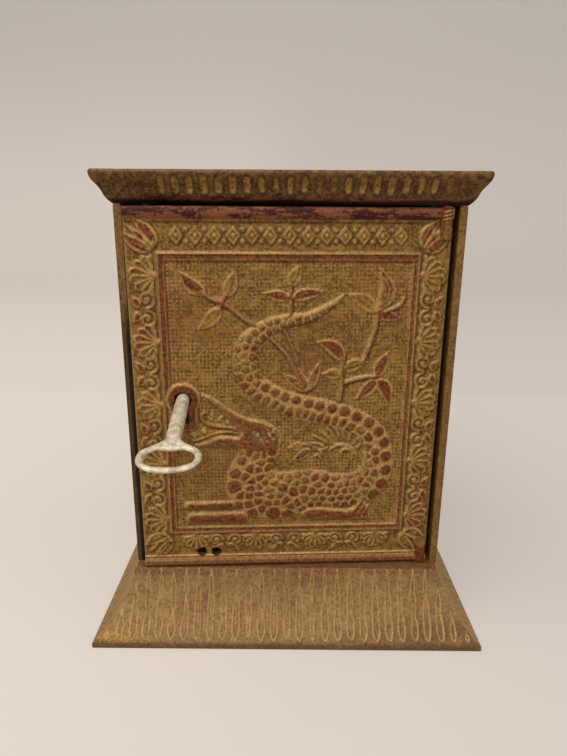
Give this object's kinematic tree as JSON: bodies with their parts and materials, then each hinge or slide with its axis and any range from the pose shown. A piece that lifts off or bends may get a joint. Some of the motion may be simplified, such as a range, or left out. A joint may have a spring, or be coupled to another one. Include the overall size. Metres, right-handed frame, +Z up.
{
  "type": "cast iron safe bank",
  "caption": "Toy coin bank shaped as an iron safe: flared base, moulded cap with coin slot, hinged relief door with key and turn latch.",
  "frame": {"origin": "centre of the foot's underside", "axes": "+X to the right seen from the door, +Y to the back, +Z up; the door stands ajar by 3 degrees at rest"},
  "size_m": [0.117, 0.1409, 0.1374],
  "materials": {
    "base_bronze": "worn bronze paint over cast iron",
    "wall_bronze": "worn bronze paint over cast iron",
    "cap_bronze": "dark japanning with bronze highlights, worn",
    "door_bronze": "bronze paint with red-brown high spots, worn",
    "bare_iron": "dark, lightly rusted",
    "steel": "dull old steel",
    "key_metal": "cast, pale and grainy"
  },
  "bodies": {
    "root": {"base": "base_bronze", "left_wall": "wall_bronze", "right_wall": "wall_bronze", "back_wall": "wall_bronze", "cap": "cap_bronze", "tie_screws": "steel"},
    "door": {"door": "door_bronze", "upper_hinge_pin": "steel", "lower_hinge_pin": "steel", "lock_bridge": "bare_iron", "leaf_spring": "steel", "lock_screws": "steel"},
    "latch": {"latch": "bare_iron"},
    "key": {"key": "key_metal"}
  },
  "joints": [
    {"name": "door_hinge", "type": "hinge", "parent": "root", "child": "door", "pos_m": [0.04185, -0.0416, 0], "axis": [0, 0, 1], "range_deg": [-3, 117]},
    {"name": "key_turn", "type": "hinge", "parent": "door", "child": "key", "pos_m": [-0.03015, -0.04537, 0.0751], "axis": [-0.0518, 0.9877, 0.1478], "range_deg": [0, 90]},
    {"name": "latch_turn", "type": "hinge", "parent": "door", "child": "latch", "pos_m": [-0.03015, -0.04537, 0.0751], "axis": [-0.0523, 0.9986, 0], "range_deg": [0, 90]}
  ],
  "couplings": [
    {"joint": "latch_turn", "follows": "key_turn", "ratio": 1}
  ]
}
